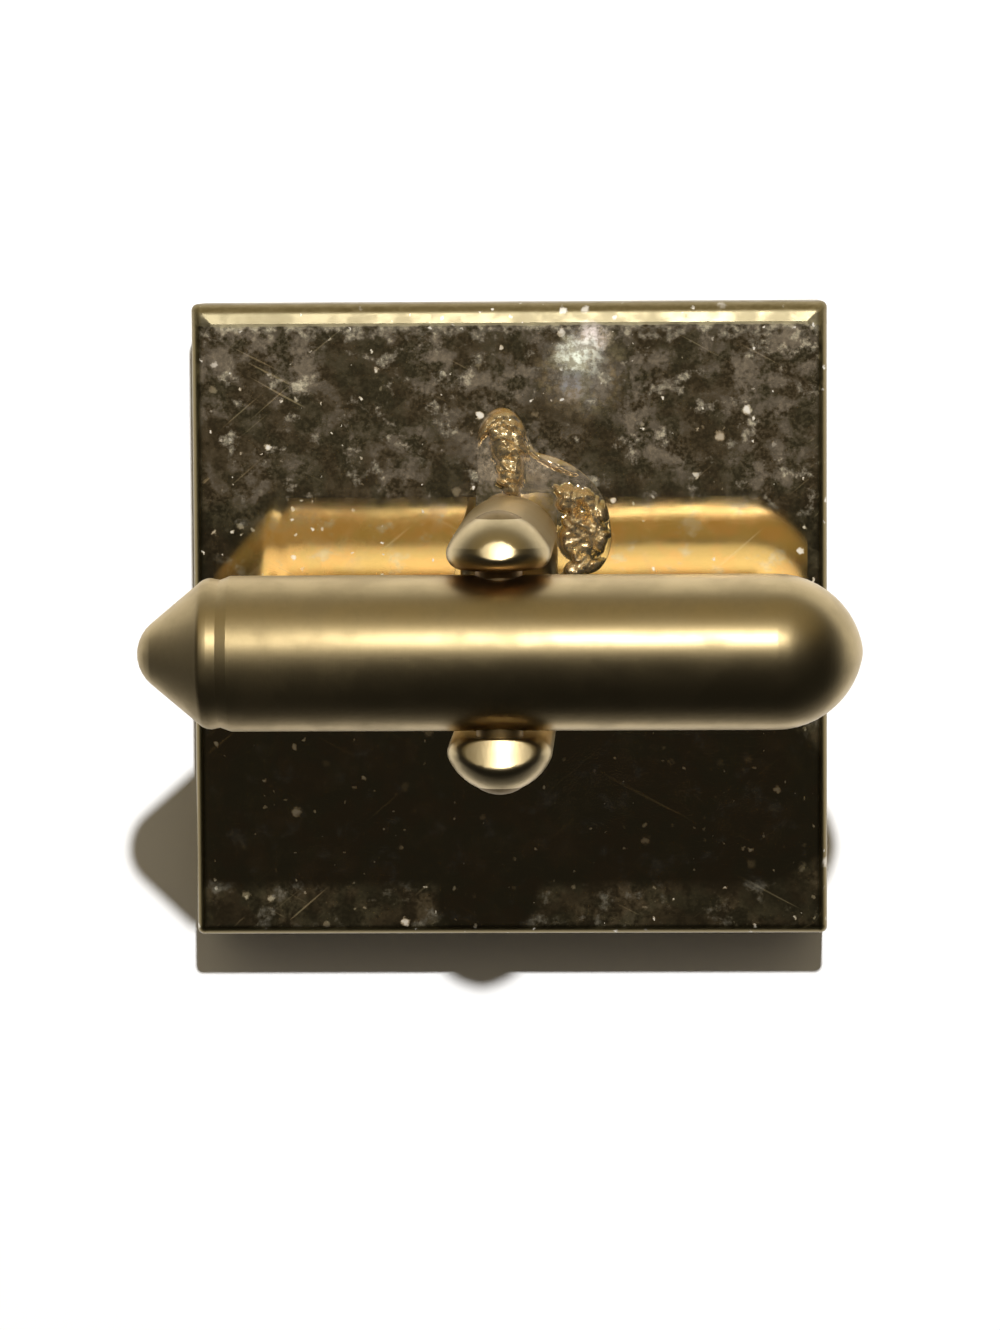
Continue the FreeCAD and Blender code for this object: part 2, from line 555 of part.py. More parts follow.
def build_detent_spring():
    """Leaf bowed off the pin's upper flat: a flat middle, then an arc up to the tube's wall on each side."""
    body = new_body("detent_spring", PIN_HEIGHT)
    profile = new_sketch(body, "leaf_profile", "XZ_Plane")
    seat = number("sizes.spring_seat_length") / 2
    face = number(LEAF_FACE)
    thickness = number("sizes.spring_thickness")
    run = number(LEAF_END) - seat
    rise = number(LEAF_RISE) - face
    bow = (run ** 2 + rise ** 2) / (2 * rise)
    centre = (seat, face + bow)
    swing = math.asin(run / bow)
    first = 1.5 * math.pi
    last = first + swing
    inner = bow - thickness
    lower_end = (centre[0] + bow * math.cos(last), centre[1] + bow * math.sin(last))
    upper_end = (centre[0] + inner * math.cos(last), centre[1] + inner * math.sin(last))
    under = line(profile, (0, face), (seat, face))
    lower = arc(profile, centre, bow, first, last)
    end_face = line(profile, lower_end, upper_end)
    upper = arc(profile, centre, inner, first, last)
    over = line(profile, (seat, face + thickness), (0, face + thickness))
    middle = line(profile, (0, face + thickness), (0, face))
    meet(profile, under, Point.END, lower, Point.START, "Tangent")
    meet(profile, lower, Point.END, end_face, Point.START)
    meet(profile, end_face, Point.END, upper, Point.END)
    meet(profile, upper, Point.START, over, Point.START, "Tangent")
    meet(profile, over, Point.END, middle, Point.START)
    meet(profile, middle, Point.END, under, Point.START)
    require(profile, "Horizontal", under)
    require(profile, "Horizontal", over)
    on_axis(profile, middle, Point.START, Axis.VERTICAL)
    on_axis(profile, middle, Point.END, Axis.VERTICAL)
    meet(profile, lower, Point.CENTRE, upper, Point.CENTRE)
    on_axis(profile, lower, Point.CENTRE, end_face)
    dimension(profile, "DistanceY", (*ORIGIN, under, Point.END), LEAF_FACE)
    dimension(profile, "DistanceY", (middle, Point.END, middle, Point.START), "sizes.spring_thickness")
    dimension(profile, "DistanceX", (*ORIGIN, under, Point.END), "sizes.spring_seat_length / 2")
    dimension(profile, "DistanceX", (*ORIGIN, lower, Point.END), LEAF_END)
    dimension(profile, "DistanceY", (*ORIGIN, lower, Point.END), LEAF_RISE)
    half = body.newObject("PartDesign::Pad", "leaf_half")
    half.Profile = profile
    half.SideType = "Symmetric"
    half.setExpression("Length", "sizes.spring_width")
    doc.recompute()
    whole = body.newObject("PartDesign::Mirrored", "leaf_whole")
    whole.Originals = [half]
    whole.MirrorPlane = (origin_feature(body, "YZ_Plane"), [""])
    body.Tip = whole
    return body


def mound(name):
    """Upper half of an ellipsoid with the named width, length and height, on the back of the plate."""
    dome = doc.addObject("Part::Ellipsoid", name)
    dome.setExpression("Radius1", f"sizes.{name}_height")
    dome.setExpression("Radius2", f"sizes.{name}_width / 2")
    dome.setExpression("Radius3", f"sizes.{name}_length / 2")
    dome.Angle1 = 0
    dome.Angle2 = 90
    dome.setExpression("Placement.Base.z", "sizes.plate_thickness")
    return dome


def build_solder_joint(post):
    """Puddle and lumps of solder, hollowed by the foot of the post that stands in them."""
    mounds = [mound("puddle")]
    for name, (middle_x, middle_y) in SOLDER_LUMPS.items():
        lump = mound(name)
        lump.setExpression("Placement.Base.x", middle_x)
        lump.setExpression("Placement.Base.y", middle_y)
        mounds.append(lump)
    whole = doc.addObject("Part::MultiFuse", "solder_whole")
    whole.Shapes = mounds
    joint = doc.addObject("Part::Cut", "solder_joint")
    joint.Base = whole
    joint.Tool = post
    return joint


stirrup_post = build_stirrup_post()
pieces = [
    build_face_plate(),
    stirrup_post,
    build_solder_joint(stirrup_post),
    build_pivot_pin(),
    build_bar_shell(),
    build_nose_plug(),
    build_detent_spring(),
]
doc.recompute()

failed = [item.Label for item in doc.Objects if {"Invalid", "Error"} & set(item.State)]
if failed:
    raise RuntimeError(f"features that failed: {failed}")
for piece in pieces:
    if piece.Shape.isNull() or not piece.Shape.isValid():
        raise RuntimeError(f"{piece.Label} has no valid shape")

os.makedirs("parts", exist_ok=True)
for piece in pieces:
    piece.Shape.exportStep(f"parts/{piece.Label}.step")
    print(f"{piece.Label}: {len(piece.Shape.Solids)} solid, {piece.Shape.Volume:.3f} mm3")
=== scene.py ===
"""Looks of a square gold cufflink with a swivelling torpedo bar, laid out as a Blender add-on.

Sizes are in metres in the part's own frame: +Z runs from the face plate along the post, X along
the toggle bar and Y along the pivot pin, with +Y called north. Patterns and the solder's shape are
laid out in millimetres, as jewellers measure.
"""

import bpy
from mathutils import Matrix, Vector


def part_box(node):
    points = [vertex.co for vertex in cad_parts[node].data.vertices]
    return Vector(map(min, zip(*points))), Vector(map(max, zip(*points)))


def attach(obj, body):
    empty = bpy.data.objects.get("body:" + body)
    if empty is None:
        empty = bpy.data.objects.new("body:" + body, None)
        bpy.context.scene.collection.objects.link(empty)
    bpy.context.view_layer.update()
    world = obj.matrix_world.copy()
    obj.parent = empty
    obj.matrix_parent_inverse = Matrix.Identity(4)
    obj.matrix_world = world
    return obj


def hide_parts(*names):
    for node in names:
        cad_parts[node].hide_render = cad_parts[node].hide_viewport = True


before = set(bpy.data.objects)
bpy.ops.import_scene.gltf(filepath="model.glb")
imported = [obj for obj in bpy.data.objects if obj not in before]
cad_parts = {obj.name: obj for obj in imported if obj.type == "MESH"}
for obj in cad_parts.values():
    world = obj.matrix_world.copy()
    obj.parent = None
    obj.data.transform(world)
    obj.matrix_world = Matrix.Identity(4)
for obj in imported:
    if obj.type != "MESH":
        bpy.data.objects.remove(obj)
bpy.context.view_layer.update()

import math
from collections import namedtuple

import bpy
import numpy as np
from bpy.props import FloatProperty, FloatVectorProperty, IntProperty, PointerProperty

bl_info = {
    "name": "Swivel-bar cufflink",
    "version": (1, 0, 0),
    "blender": (4, 5, 0),
    "location": "3D View > Sidebar > Cufflink",
    "description": "Dresses the parts of a gold cufflink and sets up its studio",
    "category": "Object",
}

MM = 0.001
PLATE_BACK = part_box("face_plate")[1].z
FOOT_HALF_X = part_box("stirrup_post")[1].x
FOOT_HALF_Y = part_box("stirrup_post")[1].y
SOLDER_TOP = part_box("solder_joint")[1].z
BAR_AXIS = (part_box("bar_shell")[0].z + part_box("bar_shell")[1].z) / 2

# Worn seam of the bar: half the width over which its shading is softened, and the share of slope
# that is left there. A normal of the bar that would turn farther than the limit isn't trued.
SEAM_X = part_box("bar_shell")[0].x
SEAM_HALF_WIDTH = 0.45 * MM
SEAM_SOFTNESS = 0.45
TRUING_LIMIT = math.radians(10)

# Worn flats on the ears: width of the soft margin, in depths of the flat, and radius of the crown.
FACET_SOFTNESS = 1.4
FACET_CROWN = 4.0 * MM

Coat = namedtuple("Coat", "gold rough")

# Marks and lumps: middles, half sizes and heights in millimetres, turns in degrees.
Stain = namedtuple("Stain", "x y wide tall colour weight")
STAINS = (
    Stain(2.15, 7.4, 2.0, 1.9, (0.48, 0.47, 0.42), 0.34),
    Stain(1.95, 7.0, 0.80, 0.80, (0.20, 0.25, 0.36), 0.62),
    Stain(2.45, 8.4, 0.90, 0.62, (0.96, 0.84, 0.80), 1.0),
    Stain(2.05, 7.95, 1.05, 0.80, (0.92, 0.97, 0.82), 1.0),
)

Lump = namedtuple("Lump", "x y wide tall turn height")
PUDDLE = (
    Lump(0.0, -0.30, 1.80, 4.40, 0, 0),
    Lump(1.0, 3.30, 2.10, 1.60, -28, 0),
    Lump(2.2, 2.50, 0.85, 1.20, 0, 0),
    Lump(-0.20, 5.20, 0.82, 1.20, 0, 0),
)
LUMPS = (
    Lump(-0.06, 5.45, 0.50, 0.80, -12, 0.36),
    Lump(0.05, 4.55, 0.40, 0.70, 0, 0.38),
    Lump(-0.62, 5.85, 0.58, 0.15, 52, 0.58),
    Lump(1.30, 4.78, 0.85, 0.20, -28, 0.17),
)
BOWL = Lump(2.15, 2.40, 0.62, 0.58, 0, 0.50)
PUDDLE_MIDDLE = (0.25, 1.5)

Cluster = namedtuple("Cluster", "x y wide tall count size height")
CLUSTERS = (
    Cluster(-0.02, 5.55, 0.52, 0.75, 22, 0.24, 0.58),
    Cluster(0.05, 4.50, 0.34, 0.60, 14, 0.20, 0.52),
    Cluster(1.95, 3.55, 0.50, 0.45, 14, 0.22, 0.52),
    Cluster(2.10, 2.95, 0.60, 0.20, 12, 0.18, 0.52),
    Cluster(2.72, 2.85, 0.28, 0.80, 16, 0.20, 0.46),
    Cluster(2.25, 1.60, 0.60, 0.35, 12, 0.22, 0.48),
)


def millimetres(name, description, default):
    """Size that a user sees and sets as a length."""
    return FloatProperty(
        name=name, description=description, default=default * MM, unit="LENGTH", precision=5
    )


def share(name, description, default):
    """Factor from 0 to 1."""
    return FloatProperty(
        name=name, description=description, default=default, min=0, max=1, subtype="FACTOR"
    )


def angle(name, description, default):
    """Angle that is given in degrees."""
    return FloatProperty(
        name=name, description=description, default=math.radians(default), subtype="ANGLE"
    )


def count(name, description, default, least):
    return IntProperty(name=name, description=description, default=default, min=least)


def colour(name, description, default):
    return FloatVectorProperty(
        name=name, description=description, default=default, size=3, min=0, max=1, subtype="COLOR"
    )


class CufflinkFinish(bpy.types.PropertyGroup):
    """Colours and gloss of the metals and of the painted shade in their crevices."""

    post_gold: colour("Post gold", "Reflection colour of the post", (0.62, 0.49, 0.27))
    bar_gold: colour("Bar gold", "Reflection colour of the worn toggle bar", (0.57, 0.44, 0.23))
    # Painted light: the bar's underside is a brighter gold, standing in for light bounced up from
    # the mirror plate.
    underside_bounce_gold: colour("Uplit underside gold", "Gold of the bar's unworn underside", (0.98, 0.80, 0.48))
    solder_gold: colour("Solder gold", "Reflection colour of the plated solder", (0.95, 0.74, 0.43))
    # Painted shade: the pin is darkened because it sits in the shaded gaps between the bar and the
    # ears.
    pin_gold: colour("Pin gold", "Reflection colour of the soiled pin", (0.30, 0.21, 0.09))
    steel: colour("Spring steel", "Reflection colour of the leaf spring", (0.50, 0.50, 0.51))
    plate_brown: colour("Plate brown", "Browner tint of the clouded plate", (0.93, 0.67, 0.34))
    plate_olive: colour("Plate olive", "Greener tint of the clouded plate", (0.85, 0.68, 0.35))
    film: colour("Film", "Thin dull film of tarnish on the plate", (0.75, 0.60, 0.41))
    blotch: colour("Blotch", "Pale blotches of dried polish on the plate", (0.85, 0.75, 0.53))
    # Painted shade: dark colour laid into the crevices round the pin, between the bar and the ears.
    crevice_shade: colour("Crevice shade", "Painted shade in the crevices round the pin", (0.34, 0.22, 0.11))
    bevel_gold: colour("Bevel gold", "Gold of the plate's worn northern bevel", (0.46, 0.39, 0.23))
    # Partly wear, partly painted shade: the rounded sides are a dark brown gold that dims their
    # reflections.
    side_gold: colour("Side gold", "Gold of the plate's rounded sides, browned by wear and darkened as painted shade", (0.22, 0.17, 0.075))
    dust: colour("Dust", "Colour of the dry specks on the plate", (0.80, 0.75, 0.66))
    mirror: share("Plate roughness", "Roughness of the clean mirror on the plate", 0.04)
    bevel: share("Bevel roughness", "Roughness of the plate's worn northern bevel", 0.40)
    side: share("Side roughness", "Roughness of the plate's rounded sides", 0.30)
    bar: share("Bar roughness", "Roughness of the toggle bar's worn upper side", 0.37)
    bar_under: share("Underside roughness", "Roughness of the bar's unworn underside", 0.22)
    post: share("Post roughness", "Roughness of the post", 0.35)
    solder: share("Solder roughness", "Roughness of the solder", 0.21)
    pin: share("Pin roughness", "Roughness of the soiled pin", 0.50)
    facet_north: millimetres("North flat", "Depth of the worn flat on the northern ear", 0.045)
    facet_south: millimetres("South flat", "Depth of the worn flat on the southern ear", 0.20)
    facet_lean: angle("Lean of the flats", "Tilt of the worn flats towards +Y", 15.6)


class CufflinkSolder(bpy.types.PropertyGroup):
    """Sizes of the solder round the foot of the post."""

    seed: count("Seed", "Start of the random lumps and skin", 11, 0)
    rings: count("Rings", "Grid steps from the middle to the rim", 130, 8)
    spokes: count("Spokes", "Grid steps round the puddle", 420, 16)
    film: millimetres("Film", "Thickness of the thin puddle", 0.010)
    fillet: millimetres("Fillet", "Height of the solder that climbs the post", 0.025)
    fillet_reach: millimetres("Fillet reach", "Reach of the climbing solder off the post", 0.12)
    feather: millimetres("Feather", "Width over which the puddle thins out to its rim", 0.20)
    grain: millimetres("Grain", "Depth of the rough skin on the lumps", 0.12)


class CufflinkStage(bpy.types.PropertyGroup):
    """Camera, lamp, floor and room."""

    camera_at: FloatVectorProperty(
        name="Camera",
        description="Place of the camera",
        size=3,
        default=(0.00371, 0.01104, 0.15238),
        subtype="TRANSLATION",
    )
    camera_turn: FloatVectorProperty(
        name="Camera turn",
        description="Turn of the camera about X, Y and Z",
        size=3,
        default=(math.radians(-4.777), math.radians(1.523), math.radians(-0.333)),
        subtype="EULER",
    )
    lens: FloatProperty(
        name="Lens", description="Focal length on a 36 mm long side", default=134.48, min=1
    )
    lamp_distance: millimetres("Lamp distance", "Distance of the lamp from the plate", 202)
    lamp_north: angle("Lamp tilt", "Tilt of the lamp towards +Y", 23.1)
    lamp_east: angle("Lamp lean", "Lean of the lamp towards +X", 3.1)
    lamp_size: millimetres("Lamp size", "Diameter of the lamp", 5)
    lamp_power: FloatProperty(
        name="Lamp power", description="Power of the lamp in watts", default=0.50, min=0
    )
    lamp_shine: share("Lamp shine", "Share of the lamp's power that shows in reflections", 0.21)
    floor_colour: colour("Floor", "Colour of the floor", (0.95, 0.95, 0.95))
    floor_half: millimetres("Floor half width", "Half the width of the floor", 1500)
    near_floor: millimetres("Near floor", "Radius within which the floor shows shadows", 17)
    mid_floor: millimetres("Middle floor", "Radius at which the floor is plain white", 35)
    far_floor: millimetres("Far floor", "Radius at which the pale floor ends in reflections", 170)
    far_level: share("Far level", "Brightness of the far floor in reflections", 0.04)
    south_level: share("South level", "Brightness of the southern floor in reflections", 0.15)
    ceiling: share("Ceiling", "Brightness of the dark room overhead", 0.012)
    glow: colour("Glow", "Soft glow of the room behind the lamp", (0.32, 0.27, 0.16))
    fill: colour("Fill", "Light of the northern room on matt surfaces", (0.26, 0.215, 0.155))


class Cufflink(bpy.types.PropertyGroup):
    """Everything that the panel shows."""

    finish: PointerProperty(type=CufflinkFinish)
    solder: PointerProperty(type=CufflinkSolder)
    stage: PointerProperty(type=CufflinkStage)


def put(tree, socket, value):
    """Links an output to a socket, or sets the socket to a value."""
    if isinstance(value, bpy.types.NodeSocket):
        tree.links.new(value, socket)
    else:
        socket.default_value = value


def place(tree, kind, sockets=None, **options):
    """New node with its options, and its inputs linked or set."""
    node = tree.nodes.new(kind)
    for name, value in options.items():
        setattr(node, name, value)
    for name, value in (sockets or {}).items():
        put(tree, node.inputs[name], value)
    return node


def maths(tree, operation, *values):
    node = place(tree, "ShaderNodeMath", dict(enumerate(values)), operation=operation)
    return node.outputs[0]


def vector(tree, operation, *values):
    node = place(tree, "ShaderNodeVectorMath", dict(enumerate(values)), operation=operation)
    return node.outputs["Value"] if operation == "LENGTH" else node.outputs["Vector"]


def spread(tree, value, low, high, start=0.0, end=1.0):
    """Smooth step that carries a value from low..high to start..end."""
    sockets = {"Value": value, "From Min": low, "From Max": high, "To Min": start, "To Max": end}
    node = place(tree, "ShaderNodeMapRange", sockets, interpolation_type="SMOOTHSTEP")
    return node.outputs["Result"]


def between(tree, mask, start, end):
    """Value that goes from start to end with a mask."""
    return spread(tree, mask, 0.0, 1.0, start, end)


def noise(tree, grid, scale, detail, output="Fac"):
    sockets = {"Vector": grid, "Scale": scale, "Detail": detail}
    return place(tree, "ShaderNodeTexNoise", sockets).outputs[output]


def blend(tree, mask, first, second):
    """Colour that goes from first to second with a mask."""
    node = place(tree, "ShaderNodeMix", data_type="RGBA")
    put(tree, node.inputs["Factor"], mask)
    put(tree, node.inputs[6], first)
    put(tree, node.inputs[7], second)
    return node.outputs[2]


def rgba(values):
    return (*values, 1.0)


def group(name, inputs, output="NodeSocketFloat"):
    """Empty node group with float inputs, given as defaults by name, and one output."""
    tree = bpy.data.node_groups.new(name, "ShaderNodeTree")
    for label, default in inputs.items():
        socket = tree.interface.new_socket(label, in_out="INPUT", socket_type="NodeSocketFloat")
        socket.default_value = default
    tree.interface.new_socket("Result", in_out="OUTPUT", socket_type=output)
    entry = tree.nodes.new("NodeGroupInput")
    leave = tree.nodes.new("NodeGroupOutput")
    return tree, entry.outputs, leave.inputs["Result"]


def use(tree, name, **sockets):
    """Places a shared group and returns its output."""
    node = place(tree, "ShaderNodeGroup", node_tree=bpy.data.node_groups[name])
    for socket, value in sockets.items():
        put(tree, node.inputs[socket], value)
    return node.outputs[0]


def axes(tree):
    """Outputs X, Y and Z: a point's place on the cufflink in millimetres."""
    return place(tree, "ShaderNodeSeparateXYZ", {0: use(tree, "millimetre grid")}).outputs


def make_grid_group():
    """Object coordinates in millimetres, shifted by an offset along all axes and turned about Z."""
    tree, entry, leave = group("millimetre grid", {"Offset": 0.0, "Turn": 0.0}, "NodeSocketVector")
    position = tree.nodes.new("ShaderNodeTexCoord").outputs["Object"]
    scaled = vector(tree, "MULTIPLY", position, (1 / MM,) * 3)
    shifted = vector(tree, "ADD", scaled, entry["Offset"])
    sockets = {"Vector": shifted, "Angle": entry["Turn"]}
    turned = place(tree, "ShaderNodeVectorRotate", sockets, rotation_type="Z_AXIS")
    tree.links.new(turned.outputs["Vector"], leave)


def make_cloud_group():
    """Cloudy mask: fractal noise of a given size, cut between two levels."""
    inputs = {"Size": 1.0, "Detail": 4.0, "Rough": 0.6, "Low": 0.45, "High": 0.65, "Offset": 0.0}
    tree, entry, leave = group("cloud mask", inputs)
    grid = use(tree, "millimetre grid", Offset=entry["Offset"])
    sockets = {
        "Vector": grid,
        "Scale": maths(tree, "DIVIDE", 1.0, entry["Size"]),
        "Detail": entry["Detail"],
        "Roughness": entry["Rough"],
    }
    clouds = place(tree, "ShaderNodeTexNoise", sockets).outputs["Fac"]
    tree.links.new(spread(tree, clouds, entry["Low"], entry["High"]), leave)


def make_speck_group():
    """Ragged specks: one in some cells of a Voronoi grid across X and Y, each with its own size."""
    wobble_reach, core, faintest = 0.25, 0.3, 0.15
    inputs = {"Cell": 1.0, "Size": 0.1, "Share": 0.3, "Offset": 0.0}
    tree, entry, leave = group("speck mask", inputs)
    grid = use(tree, "millimetre grid", Offset=entry["Offset"])
    wobble = noise(tree, grid, scale=7.0, detail=3.0, output="Color")
    shaken = vector(tree, "MULTIPLY_ADD", wobble, (wobble_reach,) * 3, grid)
    scale = maths(tree, "DIVIDE", 1.0, entry["Cell"])
    flat = {"Vector": shaken, "Scale": scale}
    cells = place(tree, "ShaderNodeTexVoronoi", flat, voronoi_dimensions="2D").outputs
    lots = place(tree, "ShaderNodeSeparateColor", {0: cells["Color"]}).outputs
    radius = maths(tree, "MULTIPLY", maths(tree, "DIVIDE", entry["Size"], entry["Cell"]), lots[1])
    spot = spread(tree, cells["Distance"], radius, maths(tree, "MULTIPLY", radius, core))
    chosen = maths(tree, "LESS_THAN", lots[0], entry["Share"])
    strength = maths(tree, "MULTIPLY", chosen, between(tree, lots[2], faintest, 1.0))
    tree.links.new(maths(tree, "MULTIPLY", spot, strength), leave)


def make_scratch_group():
    """Fine straight scratches: noise drawn out along X after a turn."""
    inputs = {"Turn": 0.0, "Fineness": 6.0, "Length": 4.0, "Low": 0.70, "High": 0.76, "Offset": 0.0}
    tree, entry, leave = group("scratch mask", inputs)
    grid = use(tree, "millimetre grid", Offset=entry["Offset"], Turn=entry["Turn"])
    along = maths(tree, "DIVIDE", 1.0, entry["Length"])
    across = entry["Fineness"]
    stretch = place(tree, "ShaderNodeCombineXYZ", {0: along, 1: across, 2: across}).outputs[0]
    drawn = noise(tree, vector(tree, "MULTIPLY", grid, stretch), scale=1.0, detail=1.0)
    tree.links.new(spread(tree, drawn, entry["Low"], entry["High"]), leave)


def make_stain_group():
    """Soft, mottled oval stain on the plate's back, with a ragged outline."""
    wobble_reach, core, faintest = 0.9, 0.1, 0.50
    tree, entry, leave = group("stain mask", {"X": 0.0, "Y": 0.0, "Wide": 1.0, "Tall": 1.0})
    grid = use(tree, "millimetre grid")
    colours = noise(tree, grid, scale=2.5, detail=6.0, output="Color")
    wobble = vector(tree, "SUBTRACT", colours, (0.5,) * 3)
    ragged = vector(tree, "MULTIPLY_ADD", wobble, (wobble_reach, wobble_reach, 0), grid)
    middle = place(tree, "ShaderNodeCombineXYZ", {0: entry["X"], 1: entry["Y"]}).outputs[0]
    half = {0: entry["Wide"], 1: entry["Tall"], 2: 1.0}
    size = place(tree, "ShaderNodeCombineXYZ", half).outputs[0]
    away = vector(tree, "DIVIDE", vector(tree, "SUBTRACT", ragged, middle), size)
    flat = vector(tree, "MULTIPLY", away, (1, 1, 0))
    oval = spread(tree, vector(tree, "LENGTH", flat), 1.0, core)
    mottle = use(tree, "cloud mask", Size=0.25, Detail=5.0, Rough=0.75, Low=0.38, High=0.62)
    tree.links.new(maths(tree, "MULTIPLY", oval, between(tree, mottle, faintest, 1.0)), leave)


def make_side_group():
    """Band along the plate's four sides, from a given distance off its middle outwards."""
    tree, entry, leave = group("plate side mask", {"Start": 9.14, "Full": 9.28})
    grid = use(tree, "millimetre grid")
    sides = place(tree, "ShaderNodeSeparateXYZ", {0: vector(tree, "ABSOLUTE", grid)}).outputs
    farthest = maths(tree, "MAXIMUM", sides["X"], sides["Y"])
    tree.links.new(spread(tree, farthest, entry["Start"], entry["Full"]), leave)


def make_crevice_shade_group():
    """Painted shade round the pin, in the crevices between the bar and the ears, less of it to the
    south.
    """
    core_share, inner_blur, outer_blur = 0.6, 0.3, 0.2
    inputs = {"Reach": 2.1, "From": 1.7, "To": 2.6, "South": 0.2}
    tree, entry, leave = group("pin grime mask", inputs)
    parts = axes(tree)
    rise = maths(tree, "SUBTRACT", parts["Z"], BAR_AXIS / MM)
    beside = maths(tree, "MULTIPLY", parts["X"], parts["X"])
    squares = maths(tree, "MULTIPLY_ADD", rise, rise, beside)
    core = maths(tree, "MULTIPLY", entry["Reach"], core_share)
    around = spread(tree, maths(tree, "SQRT", squares), entry["Reach"], core)
    side = maths(tree, "ABSOLUTE", parts["Y"])
    inner = spread(tree, side, maths(tree, "SUBTRACT", entry["From"], inner_blur), entry["From"])
    outer = spread(tree, side, entry["To"], maths(tree, "SUBTRACT", entry["To"], outer_blur))
    band = maths(tree, "MULTIPLY", inner, outer)
    held = maths(tree, "MULTIPLY", band, spread(tree, parts["Y"], -1.0, 1.0, entry["South"], 1.0))
    tree.links.new(maths(tree, "MULTIPLY", around, held), leave)


def make_bevel_group():
    """Band along the plate's north side with a ragged border."""
    tree, entry, leave = group("north bevel mask", {"Start": 8.74, "Full": 8.86, "Ragged": 0.12})
    grid = use(tree, "millimetre grid")
    wobble = maths(tree, "SUBTRACT", noise(tree, grid, scale=3.0, detail=4.0), 0.5)
    shift = maths(tree, "MULTIPLY", wobble, entry["Ragged"])
    north = maths(tree, "ADD", place(tree, "ShaderNodeSeparateXYZ", {0: grid}).outputs["Y"], shift)
    tree.links.new(spread(tree, north, entry["Start"], entry["Full"]), leave)


def make_shared_groups():
    """Makes the groups that materials share, each after those that it uses."""
    make_grid_group()
    make_cloud_group()
    make_speck_group()
    make_scratch_group()
    make_stain_group()
    make_side_group()
    make_bevel_group()
    make_crevice_shade_group()


def new_metal(name, gold, roughness):
    """Material with a Principled metal; returns it with its tree and the shader's inputs."""
    material = bpy.data.materials.new(name)
    material.use_nodes = True
    tree = material.node_tree
    sockets = tree.nodes["Principled BSDF"].inputs
    sockets["Base Color"].default_value = rgba(gold)
    sockets["Metallic"].default_value = 1.0
    sockets["Roughness"].default_value = roughness
    return material, tree, sockets


def relief(tree, sockets, height, depth):
    """Bump of a given depth in metres from a height mask."""
    bump = place(tree, "ShaderNodeBump", {"Height": height, "Strength": 1.0, "Distance": depth})
    tree.links.new(bump.outputs["Normal"], sockets["Normal"])


def tarnish(tree, blotches):
    """Share of the plate that dull films hide: mottled, thick in blotches, and thinned to the south
    as painted shade, so the plate reads darker there.
    """
    least, thick, south = 0.016, 0.16, 0.30
    patches = use(tree, "cloud mask", Size=2.2, Detail=5.0, Low=0.40, High=0.62)
    mottle = use(tree, "cloud mask", Size=0.55, Detail=4.0, Low=0.43, High=0.62, Offset=3.0)
    grain = use(tree, "cloud mask", Size=0.13, Detail=2.0, Low=0.42, High=0.62, Offset=9.0)
    mottled = maths(tree, "MULTIPLY_ADD", patches, 0.095, 0.025)
    grained = maths(tree, "MULTIPLY_ADD", patches, 0.035, 0.012)
    film = maths(tree, "MULTIPLY_ADD", mottle, mottled, least)
    film = maths(tree, "MULTIPLY_ADD", grain, grained, film)
    blotched = maths(tree, "MULTIPLY", blotches, maths(tree, "MULTIPLY_ADD", grain, thick, thick))
    whole = maths(tree, "ADD", film, blotched)
    # Painted shade: the film is thinned to the south, which darkens the plate there.
    return maths(tree, "MULTIPLY", whole, spread(tree, axes(tree)["Y"], 2.6, 4.4, south, 1.0))


def film_mask(tree, dull):
    """Where the dull film is thick enough to show its own colour."""
    return spread(tree, dull, 0.02, 0.10)


def plate_waves(tree):
    """Height of the plate's back in millimetres: a shallow dish round the post, with slow waves.

    The dish rises with the fourth power of the distance from the bar's line, up to its reach.
    """
    dish_reach, dish_rise, wave_height = 3.7, 0.00016, 0.006
    near = maths(tree, "MINIMUM", maths(tree, "ABSOLUTE", axes(tree)["Y"]), dish_reach)
    dish = maths(tree, "MULTIPLY", maths(tree, "POWER", near, 4.0), dish_rise)
    waves = use(tree, "cloud mask", Size=4.5, Detail=1.0, Low=0.2, High=0.8, Offset=31.0)
    return maths(tree, "MULTIPLY_ADD", waves, wave_height, dish)


